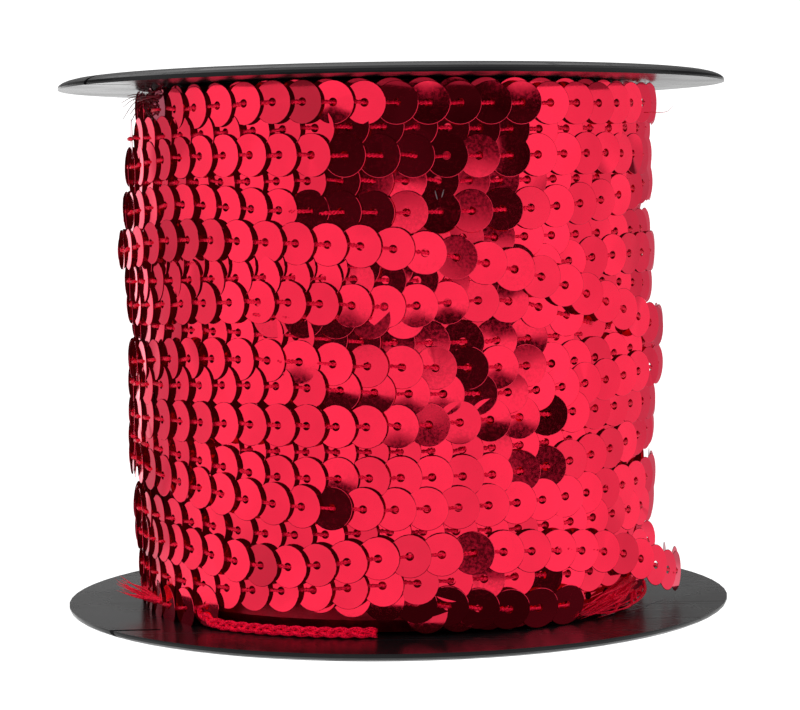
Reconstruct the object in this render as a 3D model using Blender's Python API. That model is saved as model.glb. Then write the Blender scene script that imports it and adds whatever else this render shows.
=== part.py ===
"""Spool of sequin trim: two flanged spool halves and the ring of wound trim between them.

The spool stands on its lower flange. Sizes are in millimetres and are turned to metres as
the meshes are made. An azimuth of 0 degrees points to the front (-Y), and grows towards +X.
"""
import math

import bmesh
import bpy
from mathutils import Vector

MM = 0.001

# Spool
FLANGE_RADIUS = 50.0
FLANGE_THICKNESS = 1.6
RIM_LIP = 0.25
RIM_DRAW_IN = 4.5
BETWEEN_FLANGES = 77.1
HUB_RADIUS = 13.0
BORE_RADIUS = 10.0
BORE_CHAMFER = 0.5
SPOOL_STEPS = 72
RIM_STEPS = 6
SMOOTH_BELOW_DEGREES = 35

# Thread slits: one in each flange, a straight slot that starts at the rim
SLIT_WIDTH = 0.9
CUTTER_OVERRUN = 3.0
SLITS = {
    "lower": {"rim_azimuth": -54.3, "end_azimuth": -49.4, "end_radius": 44.4},
    "upper": {"rim_azimuth": -59.5, "end_azimuth": -57.4, "end_radius": 43.8},
}

# Clearance between neighbouring pieces
GAP = 0.3

# Wound trim: a band of 6 mm sequins, laid in an outer and an inner layer of rows
ROW_HALF_WIDTH = 3.0
ROW_EDGE_DROP = 0.6
ROW_FLANK_SLOPE = 1.3
OUTER_LAYER_RADIUS = 39.2
INNER_LAYER_RADIUS = 38.3
CORE_RADIUS = 37.5
WINDING_AZIMUTH_STEPS = 72
WINDING_HEIGHT_STEPS = 52

# Height of each row's middle at the front, at these azimuths. Behind, each row runs on
# into the next row of its own layer.
STATIONS = (-75, -50, -25, 0, 25, 50, 75)
OUTER_ROWS = (
    (75.4, 75.1, 75.5, 75.0, 75.1, 75.1, 75.4),
    (67.6, 68.4, 68.2, 67.9, 67.8, 68.0, 68.0),
    (60.9, 61.6, 60.9, 60.2, 60.5, 61.6, 64.4),
    (55.3, 56.6, 56.3, 55.1, 52.0, 47.1, 43.2),
    (46.8, 47.7, 48.0, 47.4, 48.2, 45.8, 42.0),
    (38.8, 39.7, 39.9, 39.1, 38.6, 39.2, 41.0),
    (30.1, 30.7, 31.1, 30.9, 31.7, 32.0, 31.9),
    (26.3, 25.8, 23.9, 23.9, 24.2, 25.8, 28.1),
    (23.3, 21.9, 20.1, 19.5, 19.9, 20.3, 20.4),
    (12.4, 13.0, 11.4, 12.9, 13.1, 11.3, 6.4),
    (5.0, 4.9, 4.6, 5.2, 4.8, 4.9, 5.0),
)
INNER_ROWS = (
    (71.4, 71.3, 71.6, 71.9, 71.4, 71.6, 71.9),
    (64.8, 64.7, 64.6, 64.5, 64.4, 64.6, 64.6),
    (57.5, 57.2, 57.0, 56.8, 56.6, 56.8, 57.1),
    (53.5, 53.5, 53.3, 53.0, 52.9, 53.3, 53.8),
    (50.2, 51.1, 51.4, 50.9, 50.6, 50.2, 49.1),
    (43.9, 43.8, 43.5, 42.4, 42.3, 42.8, 43.4),
    (35.2, 35.9, 36.5, 35.5, 35.1, 35.8, 36.7),
    (27.4, 27.4, 27.4, 27.4, 27.6, 28.0, 28.2),
    (16.8, 16.5, 15.8, 16.3, 16.4, 16.6, 16.8),
    (7.9, 7.6, 7.9, 9.0, 9.4, 9.2, 9.0),
)

# How far two of the outer rows stand off the layer, at the same azimuths: the turn that
# crosses over others, and the slack turn that bulges out at the right
CROSSING_ROW = 3
SLACK_ROW = 9
ROW_LIFTS = {
    CROSSING_ROW: (0.6, 0.6, 0.6, 0.7, 0.8, 0.8, 0.7),
    SLACK_ROW: (0.0, 0.0, 0.0, 0.0, 0.2, 2.2, 4.3),
}

LOWER_INNER_FACE = FLANGE_THICKNESS
UPPER_INNER_FACE = FLANGE_THICKNESS + BETWEEN_FLANGES
SPOOL_HEIGHT = UPPER_INNER_FACE + FLANGE_THICKNESS
MID_HEIGHT = SPOOL_HEIGHT / 2


def clear_scene():
    for obj in list(bpy.data.objects):
        bpy.data.objects.remove(obj, do_unlink=True)


def principled(name, colour, roughness, metallic=0.0):
    material = bpy.data.materials.new(name)
    material.use_nodes = True
    shader = material.node_tree.nodes["Principled BSDF"]
    shader.inputs["Base Color"].default_value = (*colour, 1.0)
    shader.inputs["Roughness"].default_value = roughness
    shader.inputs["Metallic"].default_value = metallic
    return material


def polar(radius, azimuth, height):
    """A point in metres, from a radius and a height in millimetres and an azimuth in degrees."""
    angle = math.radians(azimuth)
    return Vector((radius * math.sin(angle), -radius * math.cos(angle), height)) * MM


def object_from_bmesh(name, bm, material):
    mesh = bpy.data.meshes.new(name)
    bmesh.ops.recalc_face_normals(bm, faces=bm.faces)
    bm.to_mesh(mesh)
    bm.free()
    mesh.materials.append(material)
    obj = bpy.data.objects.new(name, mesh)
    bpy.context.collection.objects.link(obj)
    return obj


def shade_round(obj):
    obj.data.shade_smooth()
    obj.data.set_sharp_from_angle(angle=math.radians(SMOOTH_BELOW_DEGREES))


def rim_curve():
    """Points of the rim's outer side: a quarter of an ellipse from the flat face out to the lip."""
    points = []
    for step in range(RIM_STEPS + 1):
        angle = math.radians(90.0 * step / RIM_STEPS)
        points.append((FLANGE_RADIUS - RIM_DRAW_IN * (1.0 - math.sin(angle)),
                       (FLANGE_THICKNESS - RIM_LIP) * (1.0 - math.cos(angle))))
    return points


def half_spool_profile():
    """Radius and height round the section of the lower half, starting at the bore's foot."""
    hub_top = MID_HEIGHT - GAP / 2
    return (
        [(BORE_RADIUS, BORE_CHAMFER), (BORE_RADIUS + BORE_CHAMFER, 0.0)]
        + rim_curve()
        + [(FLANGE_RADIUS, FLANGE_THICKNESS),
           (HUB_RADIUS, FLANGE_THICKNESS),
           (HUB_RADIUS, hub_top),
           (BORE_RADIUS, hub_top)]
    )


def turned(profile):
    """A closed section turned about the Z axis."""
    bm = bmesh.new()
    rings = []
    for step in range(SPOOL_STEPS):
        azimuth = 360.0 * step / SPOOL_STEPS
        rings.append([bm.verts.new(polar(radius, azimuth, height)) for radius, height in profile])
    for ring, following in zip(rings, rings[1:] + rings[:1]):
        for index in range(len(profile)):
            other = (index + 1) % len(profile)
            bm.faces.new((ring[index], following[index], following[other], ring[other]))
    return bm


def slit_cutter(name, slit, height):
    """A thin upright block along the slit, reaching past the rim and both faces of the flange."""
    start = polar(FLANGE_RADIUS, slit["rim_azimuth"], 0.0)
    end = polar(slit["end_radius"], slit["end_azimuth"], 0.0)
    along = (start - end).normalized()
    across = Vector((-along.y, along.x, 0.0)) * SLIT_WIDTH * MM / 2
    outer = start + along * CUTTER_OVERRUN * MM
    bm = bmesh.new()
    low = Vector((0.0, 0.0, (height - FLANGE_THICKNESS) * MM))
    high = Vector((0.0, 0.0, (height + FLANGE_THICKNESS) * MM))
    corners = (end - across, outer - across, outer + across, end + across)
    bottom = [bm.verts.new(corner + low) for corner in corners]
    top = [bm.verts.new(corner + high) for corner in corners]
    bm.faces.new(bottom[::-1])
    bm.faces.new(top)
    for index in range(len(corners)):
        other = (index + 1) % len(corners)
        bm.faces.new((bottom[index], bottom[other], top[other], top[index]))
    cutter = object_from_bmesh(name, bm, plastic)
    cutter.hide_render = True
    cutter.display_type = "WIRE"
    return cutter


def cut_slit(obj, cutter):
    cut = obj.modifiers.new("thread slit", "BOOLEAN")
    cut.operation = "DIFFERENCE"
    cut.object = cutter


def build_lower_half():
    half = object_from_bmesh("spool_lower_half", turned(half_spool_profile()), plastic)
    shade_round(half)
    cut_slit(half, slit_cutter("lower_slit_cutter", SLITS["lower"], FLANGE_THICKNESS / 2))


def build_upper_half():
    profile = [(radius, SPOOL_HEIGHT - height) for radius, height in half_spool_profile()]
    half = object_from_bmesh("spool_upper_half", turned(profile[::-1]), plastic)
    shade_round(half)
    flange_middle = SPOOL_HEIGHT - FLANGE_THICKNESS / 2
    cut_slit(half, slit_cutter("upper_slit_cutter", SLITS["upper"], flange_middle))


def smooth_step(share):
    return share * share * (3.0 - 2.0 * share)


def between_stations(values, azimuth):
    """A smooth curve through the values at the stations, for an azimuth at the front."""
    last = len(STATIONS) - 2
    index = min(max(int((azimuth - STATIONS[0]) // (STATIONS[1] - STATIONS[0])), 0), last)
    share = (azimuth - STATIONS[index]) / (STATIONS[index + 1] - STATIONS[index])
    before = values[max(index - 1, 0)]
    here = values[index]
    after = values[index + 1]
    beyond = values[min(index + 2, last + 1)]
    return 0.5 * (2 * here + (after - before) * share
                  + (2 * before - 5 * here + 4 * after - beyond) * share ** 2
                  + (3 * here - before - 3 * after + beyond) * share ** 3)


def strands(rows, layer_radius, lifts, azimuth):
    """Height and radius of each turn of one layer that passes an azimuth from -180 to 180."""
    first, final = STATIONS[0], STATIONS[-1]
    flat = (0.0,) * len(STATIONS)
    lift_of = [lifts.get(index, flat) for index in range(len(rows))]
    if first <= azimuth <= final:
        return [(between_stations(row, azimuth), layer_radius + between_stations(lift, azimuth))
                for row, lift in zip(rows, lift_of)]
    behind = azimuth + 360.0 if azimuth < first else azimuth
    share = smooth_step((behind - final) / (360.0 + first - final))
    found = [(rows[0][0], layer_radius)]
    for index in range(len(rows) - 1):
        height = rows[index][-1] + (rows[index + 1][0] - rows[index][-1]) * share
        lift = lift_of[index][-1] + (lift_of[index + 1][0] - lift_of[index][-1]) * min(1.0, 2 * share)
        found.append((height, layer_radius + lift))
    found.append((rows[-1][-1], layer_radius))
    return found


def winding_radius(turns, height):
    """The outermost of the turns at a height: each is a crowned band with sloping flanks."""
    radius = CORE_RADIUS
    for middle, band_radius in turns:
        offset = abs(height - middle)
        crown = ROW_EDGE_DROP * min(1.0, offset / ROW_HALF_WIDTH) ** 2
        flank = ROW_FLANK_SLOPE * max(0.0, offset - ROW_HALF_WIDTH)
        radius = max(radius, band_radius - crown - flank)
    return radius


def build_winding():
    """The whole wound package as one ring, with its rows raised in the outer surface."""
    low = LOWER_INNER_FACE + GAP
    high = UPPER_INNER_FACE - GAP
    bore = HUB_RADIUS + GAP
    bm = bmesh.new()
    columns = []
    for step in range(WINDING_AZIMUTH_STEPS):
        azimuth = 360.0 * step / WINDING_AZIMUTH_STEPS - 180.0
        turns = (strands(OUTER_ROWS, OUTER_LAYER_RADIUS, ROW_LIFTS, azimuth)
                 + strands(INNER_ROWS, INNER_LAYER_RADIUS, {}, azimuth))
        column = [bm.verts.new(polar(bore, azimuth, low))]
        for level in range(WINDING_HEIGHT_STEPS + 1):
            height = low + (high - low) * level / WINDING_HEIGHT_STEPS
            column.append(bm.verts.new(polar(winding_radius(turns, height), azimuth, height)))
        column.append(bm.verts.new(polar(bore, azimuth, high)))
        columns.append(column)
    for column, following in zip(columns, columns[1:] + columns[:1]):
        for index in range(len(column)):
            other = (index + 1) % len(column)
            bm.faces.new((column[index], following[index], following[other], column[other]))
    shade_round(object_from_bmesh("trim_winding", bm, trim))


clear_scene()
plastic = principled("black plastic", (0.022, 0.022, 0.025), 0.32)
trim = principled("red sequin trim", (0.78, 0.012, 0.06), 0.3, 0.35)
build_lower_half()
build_upper_half()
build_winding()
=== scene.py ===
"""Looks of a spool of sequin trim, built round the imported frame.

Lengths are in millimetres and angles in degrees, and are turned to metres and radians as
each mesh is made. Materials work in metres. An azimuth of 0 points to the front (-Y) and
grows towards +X.
"""

import math
from collections import namedtuple

import bpy
import numpy as np
from mathutils import Matrix, Vector


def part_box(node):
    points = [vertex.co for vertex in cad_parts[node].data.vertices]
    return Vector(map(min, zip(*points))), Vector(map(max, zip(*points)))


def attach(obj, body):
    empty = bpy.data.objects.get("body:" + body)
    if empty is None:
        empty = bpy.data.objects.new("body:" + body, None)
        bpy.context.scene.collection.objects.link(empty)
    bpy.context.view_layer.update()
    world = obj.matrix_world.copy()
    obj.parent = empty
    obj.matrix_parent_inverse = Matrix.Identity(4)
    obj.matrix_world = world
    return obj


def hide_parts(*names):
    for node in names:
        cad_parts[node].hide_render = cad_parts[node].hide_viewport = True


MM = 0.001
SEED = 7

# Sequins: thin round foil, strung edge over edge on a stitch thread, and joined in pieces of
# at most so many. A tilt brings a sequin's right edge outward, a lean turns its face up
SEQUIN_RADIUS = 3.0
SEQUIN_THICKNESS = 0.11
SEQUIN_EDGE = 0.07
HOLE_RADIUS = 0.6
BENDING_RADIUS = 1.8
SEQUIN_STEPS = 28
RIM_RING = 3
SEQUIN_PITCH = 4.45
TILT = 9.5
TILT_SPREAD = 0.8
LEAN_SPREAD = 0.8
PIECE_SEQUINS = 560

# Towards the left the sequins lie flatter: from an azimuth, over a stretch, by an angle
LEFT_FLATTER = ((-16.0, 14.0, 2.2), (-50.0, 25.0, 3.0))

# From this azimuth on either side, and fully after this stretch, a sequin's tilt follows the
# way its turn runs in or out
SLOPE_FOLLOWED = (40.0, 15.0)

# How uneven the sequins are: in shade, bent off flat at the rim, or creased from the hole
# outward, with the crease's angle in radians. Turned ones keep only a share of bend and crease
SHADE_SPREAD = 0.07
DULL_SHARE = 0.08
DULL_LOSS = 0.2
SURFACE_BEND = 0.06
CREASED_SHARE = 0.15
CREASE_SLOPE = 0.02
CREASE_ANGLE = 0.35
TURNED_UNEVENNESS = 0.12

# Stitches: two plies twisted, from the hole of each sequin to under its left neighbour. The
# course is in the sequin's own axes, along the thread and outward, and the twist is in
# degrees for each millimetre
PLY_RADIUS = 0.19
PLY_OFFSET = 0.16
STITCH_COURSE = ((0.45, -0.55), (0.38, -0.1), (0.1, 0.2), (-0.4, 0.26), (-0.95, 0.27),
                 (-1.5, 0.27), (-2.05, 0.26), (-2.55, 0.2), (-2.95, 0.08))
STITCH_FLATNESS = 0.72
STITCH_TWIST = 300.0
STITCH_SHIFT_SPREAD = 0.12
STITCH_SWING_SPREAD = 4.0
STITCH_SIDES = 5

# The wound package sits a little to the left of the spool's axis, with its turns in two layers
PACKAGE_SHIFT = (-0.5, 0.0, 0.0)
OUTER = 39.3
INNER = 38.6

# Behind, a turn reaches the next one's radius this many times sooner than its height
BEHIND_LIFT_PACE = 7.0

# The dark ring of turns beneath, which ripples with height and a little round the axis
CORE_BORE = 13.3
CORE_RADIUS = 36.4
CORE_STEPS = 96
CORE_LEVELS = 40
CORE_RIPPLE = 0.18
CORE_RIPPLE_RATE = 1.9
CORE_UNEVENNESS = 0.1
CORE_UNEVEN_RATE = 0.7
CORE_EDGE_EASE = 1.2

# The plain turns beneath show only through gaps, and each starts a little further round
UNDER_RADIUS = 37.5
UNDER_HEIGHTS = (5.0, 75.6)
UNDER_ROWS = 17
UNDER_STAGGER = 2.6
# Their sequins' colour is darkened by this share, a painted shade for lying beneath
UNDER_SHADE = 0.85

# Each turn of the trim as it passes the front: its layer's radius, the azimuth of its middle
# sequin, the angle from sequin to sequin, and at each station how far its sequins are shifted
# to the right, its height, how far it stands off its layer, and how far it leans to face up.
# Last are the azimuths between which it is laid, for a turn that is shorter than the others
STATIONS = (-75, -50, -25, 0, 25, 50, 75)
NONE = (0.0,) * len(STATIONS)
Row = namedtuple("Row", "name layer phase pitch shifts heights lifts leans first last",
                 defaults=(NONE, -80, 80))
ROWS = (
    Row("1", OUTER, 2.2, 6.65,
        (-2.0, 0.1, 0.9, -0.2, -1.0, 0.6, -0.8),
        (75.6, 75.1, 75.5, 75.1, 75.0, 75.1, 75.5),
        (-1.6, -0.5, 0.0, 0.0, 0.0, 0.0, 0.6),
        (0.0, 0.5, 1.5, 2.5, 2.5, 0.0, 0.0), first=-62, last=82),
    Row("2", INNER, -0.9, 6.80,
        (1.0, -0.3, -0.5, 0.0, -0.6, 0.9, 2.0),
        (71.3, 71.3, 71.7, 71.9, 71.4, 71.6, 71.9),
        (0.6, 0.3, 0.1, 0.1, 0.0, 0.0, 0.3),
        (0.0, 0.0, 0.5, 1.5, 1.5, 0.0, 0.0)),
    Row("3", OUTER, -1.7, 6.66,
        (1.0, -0.1, -0.6, 0.0, 0.2, 0.1, -0.3),
        (67.2, 68.2, 68.3, 67.9, 67.8, 68.1, 67.9),
        (-0.2, 0.0, 0.0, 0.0, 0.0, 0.0, -0.3),
        (0.0, 0.0, 0.5, 1.5, 1.5, 0.0, 0.0)),
    Row("4", INNER, -3.5, 6.68,
        (-1.0, -0.8, 0.1, 0.3, -0.1, -0.2, 0.8),
        (65.0, 64.7, 64.7, 64.5, 64.4, 64.6, 64.2),
        NONE,
        (0.0, 0.0, 0.5, 1.5, 1.5, 0.0, 0.0)),
    Row("5", OUTER, -1.9, 6.56,
        (1.3, 0.5, -1.0, -1.1, -0.8, -0.5, 2.3),
        (60.5, 61.6, 60.8, 60.2, 60.4, 61.4, 64.1),
        (0.3, 0.1, -0.2, -0.2, -0.2, -0.2, -0.3),
        (0.0, 0.0, 0.0, 1.2, 1.2, 0.0, 0.0)),
    Row("5b", INNER, 21.5, 7.19,
        (0.4, 0.9, 1.3, 1.3, 0.4, -0.6, 0.4),
        (56.7, 56.7, 56.7, 56.7, 56.6, 56.8, 57.1),
        (-0.4, -0.4, -0.4, -0.4, 0.0, 0.0, 0.0)),
    Row("6", OUTER, -0.8, 6.34,
        (-0.7, -0.2, 0.7, 1.6, 0.4, -1.2, -1.1),
        (54.9, 56.6, 56.3, 55.2, 52.1, 47.1, 42.7),
        (1.2, 0.7, 0.2, 0.6, 1.3, 1.3, 1.5),
        (0.0, -2.0, -4.0, -4.0, -4.0, -2.0, 0.0)),
    Row("6r", INNER, 39.7, 7.19,
        (0.0, 0.3, 0.7, 0.9, 1.0, -0.1, 0.2),
        (53.5, 53.5, 53.3, 53.0, 52.4, 53.5, 53.7),
        (0.0, 0.0, 0.0, 0.0, 0.0, 0.6, 0.9), first=30),
    Row("7", INNER, -0.4, 6.61,
        (0.9, 0.3, 0.3, -0.5, -1.2, -1.2, -0.4),
        (50.3, 50.9, 51.5, 51.0, 50.6, 50.0, 49.1),
        (0.9, 0.4, 0.5, 0.2, 0.0, 0.0, 0.3),
        (0.0, 0.0, -1.5, -1.5, 0.0, 0.0, 0.0)),
    Row("8", OUTER, -1.6, 6.82,
        (-1.3, 0.5, 1.3, 0.4, -1.1, 1.0, 1.0),
        (46.8, 47.6, 48.1, 47.4, 47.8, 43.6, 42.0),
        (0.0, 0.0, 0.1, 0.0, -0.1, -0.7, -0.7),
        (0.0, 0.0, -1.0, -1.0, -1.0, 0.0, 0.0)),
    Row("8b", INNER, -24.5, 6.80,
        NONE,
        (45.8, 45.8, 46.1, 45.9, 45.8, 45.8, 45.8),
        (0.3, 0.3, 0.3, 0.3, 0.3, 0.3, 0.3),
        (2.0, 2.0, 2.0, 2.0, 2.0, 2.0, 2.0), first=-27, last=4),
    Row("9", INNER, 1.5, 7.02,
        (1.3, 0.8, 0.1, -0.8, -0.3, 1.0, 1.8),
        (44.3, 43.9, 43.6, 42.4, 42.4, 42.7, 43.0),
        (0.0, 0.0, 0.0, 0.0, 0.0, -0.3, -0.4)),
    Row("10", OUTER, 0.8, 6.80,
        (-0.8, -0.1, 0.6, 1.4, 0.8, -1.2, -1.3),
        (38.4, 39.8, 40.0, 39.1, 38.7, 39.3, 40.8),
        (0.0, -0.1, -0.2, -0.2, -0.2, 0.0, 0.6)),
    Row("11", INNER, -3.8, 6.72,
        (-2.0, 0.3, -0.1, 0.5, 1.2, -0.1, -1.5),
        (35.2, 36.0, 36.5, 35.5, 35.2, 36.0, 37.0),
        (0.7, 0.5, 0.4, 0.4, 0.5, 1.2, 2.0)),
    Row("12", OUTER, 1.8, 6.50,
        (-2.1, 0.3, 0.7, -0.6, -1.2, 0.0, 2.4),
        (30.4, 30.9, 31.1, 31.0, 31.6, 32.0, 31.8),
        (0.1, 0.1, 0.1, 0.1, 0.1, 0.0, 0.1)),
    Row("12b", INNER, -18.0, 6.52,
        NONE,
        (27.4, 27.4, 27.4, 27.4, 27.6, 28.0, 28.2),
        (-0.5, -0.4, -0.2, -0.2, -0.4, -0.4, -0.4)),
    Row("13", OUTER, 1.2, 6.55,
        (-2.0, 0.3, 0.9, 0.5, -0.4, -1.2, 0.2),
        (26.9, 25.9, 23.9, 23.9, 24.0, 25.7, 27.5),
        (0.1, -0.2, -0.3, -0.3, -0.2, -0.1, -0.3)),
    Row("14", OUTER, 0.3, 6.31,
        (-1.0, 0.1, 0.1, 0.1, 0.2, -0.6, 1.6),
        (24.0, 22.2, 20.2, 19.6, 19.8, 20.3, 20.5),
        (0.2, 0.3, 0.3, 0.3, 0.2, 0.1, 0.0)),
    Row("15", INNER, -0.6, 6.79,
        (-0.7, 0.1, 0.3, -0.1, 0.0, -0.5, 1.0),
        (16.4, 16.5, 15.8, 16.4, 16.1, 16.5, 16.5),
        (0.3, 0.0, 0.0, 0.0, 0.1, 0.5, 0.5)),
    Row("16", OUTER, -3.5, 6.14,
        (1.5, -0.3, 0.1, 0.5, 1.6, 0.9, -1.2),
        (12.8, 12.9, 11.4, 13.0, 13.0, 11.2, 6.3),
        (-0.5, 0.0, 0.1, 0.1, 0.4, 1.9, 3.9)),
    Row("17", INNER, -2.4, 7.02,
        (0.1, 0.3, -0.4, 0.1, 0.1, -0.6, -0.9),
        (7.8, 7.7, 7.9, 9.1, 9.4, 8.8, 10.7),
        (-0.3, 0.0, 0.1, 0.2, 0.0, 0.0, 0.5)),
    Row("18", OUTER, 4.1, 6.83,
        (-0.3, 0.2, 0.3, 0.5, -0.3, 0.6, 1.3),
        (4.2, 4.0, 7.9, 6.6, 4.9, 4.6, 4.6),
        (-1.2, -0.3, -1.5, -1.35, -0.5, -0.2, 0.0),
        (0.0, 0.0, 0.0, -12.0, -13.0, -13.0, 0.0), last=42),
)
OUTER_ORDER = ("1", "3", "5", "6", "8", "10", "12", "13", "14", "16", "18")
INNER_ORDER = ("2", "4", "5b", "6r", "7", "9", "11", "12b", "15", "17")
SHORT_ROWS = ("8b",)

# The lowest turn shows its back over this stretch, so it has no sequins there, and neither
# has the lowest plain turn beneath it
BARE_ROW = "18"
BARE = (-42.0, -20.0)
UNDER_BARE = (-42.0, 2.0)

# Sequins that lie otherwise than their row: the row, the azimuth, how far it leans to face
# up, how much more with each millimetre of height, how much less it is tilted, and its shade,
# a painted shade that darkens its colour for the shade or dark reflection it shows there.
# An entry stands for the sequin of its row within this angle of its azimuth
SAME_SEQUIN = 3.2
Turned = namedtuple("Turned", "row azimuth lean curl swing shade", defaults=(0.0, 0.0, 1.0))
TURNED = (
    Turned("1", -58.3, 0.0, shade=0.16),
    Turned("1", -17.8, 1.5, shade=0.5),
    Turned("1", -11.2, -3.6, -1.4, 3.0),
    Turned("1", -4.5, -4.0),
    Turned("1", 8.9, 0.0, -1.0),
    Turned("1", 28.8, -0.3, -1.0, -2.5),
    Turned("1", 42.1, 2.4, shade=0.95),
    Turned("1", 48.8, 4.0, shade=0.9),
    Turned("1", 55.4, 2.0, shade=0.9),
    Turned("2", -74.7, 0.0, shade=0.25),
    Turned("3", -8.8, 2.0, 0.0, 4.0),
    Turned("3", 18.3, -0.9, 0.1),
    Turned("4", -10.0, 2.0, 0.0, 5.0),
    Turned("4", 3.4, -0.8, 0.3),
    Turned("4", 16.6, -0.65, 0.1),
    Turned("4", 23.2, -0.3, -0.2),
    Turned("5", -15.9, 1.8, 0.0, 9.0),
    Turned("5", -9.4, 1.6, 0.0, 4.5),
    Turned("5", -2.9, 1.6, 0.0, 1.0),
    Turned("5", 4.7, -0.65),
    Turned("5", 16.9, -0.1, 0.05),
    Turned("5", 23.5, 1.6),
    Turned("6", 12.6, -1.5, 0.12),
    Turned("6", 19.0, -4.0),
    Turned("7", -0.4, 1.2),
    Turned("7", 6.2, 1.2),
    Turned("7", 12.8, 0.35),
    Turned("7", 19.4, 1.2),
    Turned("8", -8.0, -0.6, -0.8),
    Turned("8", -1.2, -1.7),
    Turned("8", 5.2, -0.25, -0.9),
    Turned("8", 11.4, -0.1, -1.0),
    Turned("8b", -24.5, 2.2, 0.0, 14.0, 0.8),
    Turned("8b", -17.7, 2.2, 0.0, 10.0, 0.9),
    Turned("8b", -10.9, 2.2, 0.0, 5.0, 0.9),
    Turned("9", -12.5, 2.4, 0.0, 5.5),
    Turned("9", -6.1, 2.2, 0.0, 1.5),
    Turned("9", 0.7, 1.3, 0.4),
    Turned("9", 7.9, 1.1, 0.2),
    Turned("9", 15.1, 2.3),
    Turned("9", 22.2, 0.8, 0.3),
    Turned("9", 29.7, 1.4, -0.6, -4.0),
    Turned("10", -19.2, 0.3, -0.8, 10.5),
    Turned("10", 15.2, 3.0),
    Turned("10", 22.0, 0.65, -0.7),
    Turned("10", 28.4, 1.3, 0.1, -3.5),
    Turned("11", -10.5, 0.8, -1.4, 3.0),
    Turned("11", -3.6, 0.6, -1.3),
    Turned("11", 3.4, 0.3, -0.9),
    Turned("11", 10.4, 0.4, -0.9),
    Turned("11", 17.5, 2.9, 0.2),
    Turned("11", 24.1, 1.4, 0.2, -3.0),
    Turned("12", 1.3, 1.3, -0.7),
    Turned("12", 7.6, 2.5, -0.2),
    Turned("12", 13.9, 0.65, -0.9),
    Turned("12", 20.2, 1.9, -1.0),
    Turned("12", 27.0, 1.6, -0.8, -3.0),
    Turned("12", 33.8, 4.4, 0.0, -12.5),
    Turned("13", -11.5, 2.4, -0.8, 4.5),
    Turned("13", 27.0, 3.9, -0.15, -3.5),
    Turned("13", 33.4, 5.2, -0.25, -9.5),
    Turned("13", 39.6, 0.0, shade=0.75),
    Turned("14", -12.3, 5.2, 0.0, 5.0),
    Turned("16", 16.0, 4.0, -0.15),
    Turned("16", 58.5, 0.0, 0.0, 2.5, 0.95),
    Turned("16", 64.0, 0.0, 0.0, 4.0, 0.8),
    Turned("16", 69.5, 0.0, 0.0, 4.0, 0.75),
    Turned("16", 75.1, 0.0, 0.0, 1.0, 0.75),
    Turned("17", 18.7, 4.2, 0.1),
    Turned("17", 32.2, 5.8, 0.0, -8.5),
    Turned("18", -16.1, -2.0),
    Turned("18", -9.1, -2.0),
    Turned("18", -2.2, -6.5),
    Turned("18", 4.5, -14.0),
)

# Camera: where the photograph was taken from, found from both flanges and the sequins
CAMERA_PLACE = (0.785, -376.25, 63.36)
CAMERA_PITCH = -3.832
CAMERA_ROLL = -0.816
CAMERA_LENS = 111.41
SENSOR_WIDTH = 36.0

# Studio: a bright, slightly cloudy surround and floor
SURROUND = 1.25
SURROUND_CLOUDS = 0.3
CLOUD_SCALE = 0.03
FLOOR_RADIUS = 700.0

# The dark gap that the camera stands in: how far it reaches to either side, its foot and top
# with how soft each is, and its share of the surround's light at its darkest and brightest
FRONT_GAP = 41.0
FRONT_GAP_EDGE = 3.0
GAP_HEIGHTS = (-1.5, 36.0, 0.9, 6.0)
GAP_LEVELS = (0.008, 0.035)
GAP_GLIMMER_SCALE = 0.09

# How much dimmer or brighter the surround is between two azimuths, with soft edges
SIDES = ((-136.0, -115.0, 0.62), (-178.0, -142.0, 1.35), (112.0, 160.0, 0.55))
SIDE_EDGE = 4.0

# A dimmer band low behind: where it begins on either side, its foot and top with how soft
# each is, and its share of the light
BACK_START = (88.0, 104.0)
BACK_HEIGHTS = (5.0, 28.0, 1.5, 6.0)
BACK_LEVEL = 0.17

# Every loose thread's places are an azimuth on the package, a height and a radius, and it
# thins over the steps of its taper. The back of the lowest turn is a chain of three strands
BRAID_COURSE = ((-48.0, 4.2, 38.4), (-44.0, 3.3, 38.8), (-40.0, 2.6, 39.2), (-31.0, 2.5, 39.2),
                (-20.0, 2.5, 39.1), (-12.0, 2.5, 39.0), (-7.5, 2.5, 38.8), (-3.5, 2.4, 38.3))
BRAID_STEPS = 170
BRAID_TAPER = 8.0
BRAID_RADIUS = 39.0
BRAID_STRANDS = 3
BRAID_LOOP = 6.4
BRAID_WIDTH = 0.48
BRAID_DEPTH = 0.26
STRAND_FIBRES = 6
STRAND_RADIUS = 0.2
STRAND_TWIST = 2.4
FIBRE_RADIUS = 0.11

# Bundles of fibres from near one place to near another: how many, how far each scatters at
# its start and its end, the fibre's radius, and how far it bows between
Bundle = namedtuple("Bundle", "start end count start_scatter end_scatter fibre bow")
LEFT_BUNDLES = (
    Bundle((-62.0, 3.9, 38.9), (-74.0, 5.6, 42.6), 18,
           (1.2, 0.3, 0.2), (1.4, 0.8, 0.4), 0.2, (0.8, 0.3, 0.3)),
)
TOP_BUNDLES = (
    Bundle((-56.5, 76.8, 37.8), (-68.0, 77.2, 38.4), 40,
           (3.0, 0.7, 0.4), (2.5, 0.4, 0.4), 0.14, (3.0, 0.5, 0.4)),
    Bundle((-58.0, 75.0, 38.0), (-67.0, 75.8, 38.5), 14,
           (2.0, 0.8, 0.3), (2.0, 0.7, 0.3), 0.14, (2.0, 0.6, 0.3)),
)
RIGHT_BUNDLES = (
    Bundle((63.0, 6.2, 38.6), (42.0, 2.6, 39.2), 16,
           (2.0, 0.6, 0.4), (3.0, 0.4, 0.4), 0.25, (2.0, 0.6, 0.5)),
    Bundle((61.0, 4.6, 39.0), (47.0, 2.8, 39.6), 12,
           (4.0, 0.9, 0.5), (4.0, 0.6, 0.4), 0.28, (4.0, 1.1, 0.5)),
)
BUNDLE_STEPS = 16
BUNDLE_TAPER = 9.0
BUNDLE_BOW_SPREAD = 0.4
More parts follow.
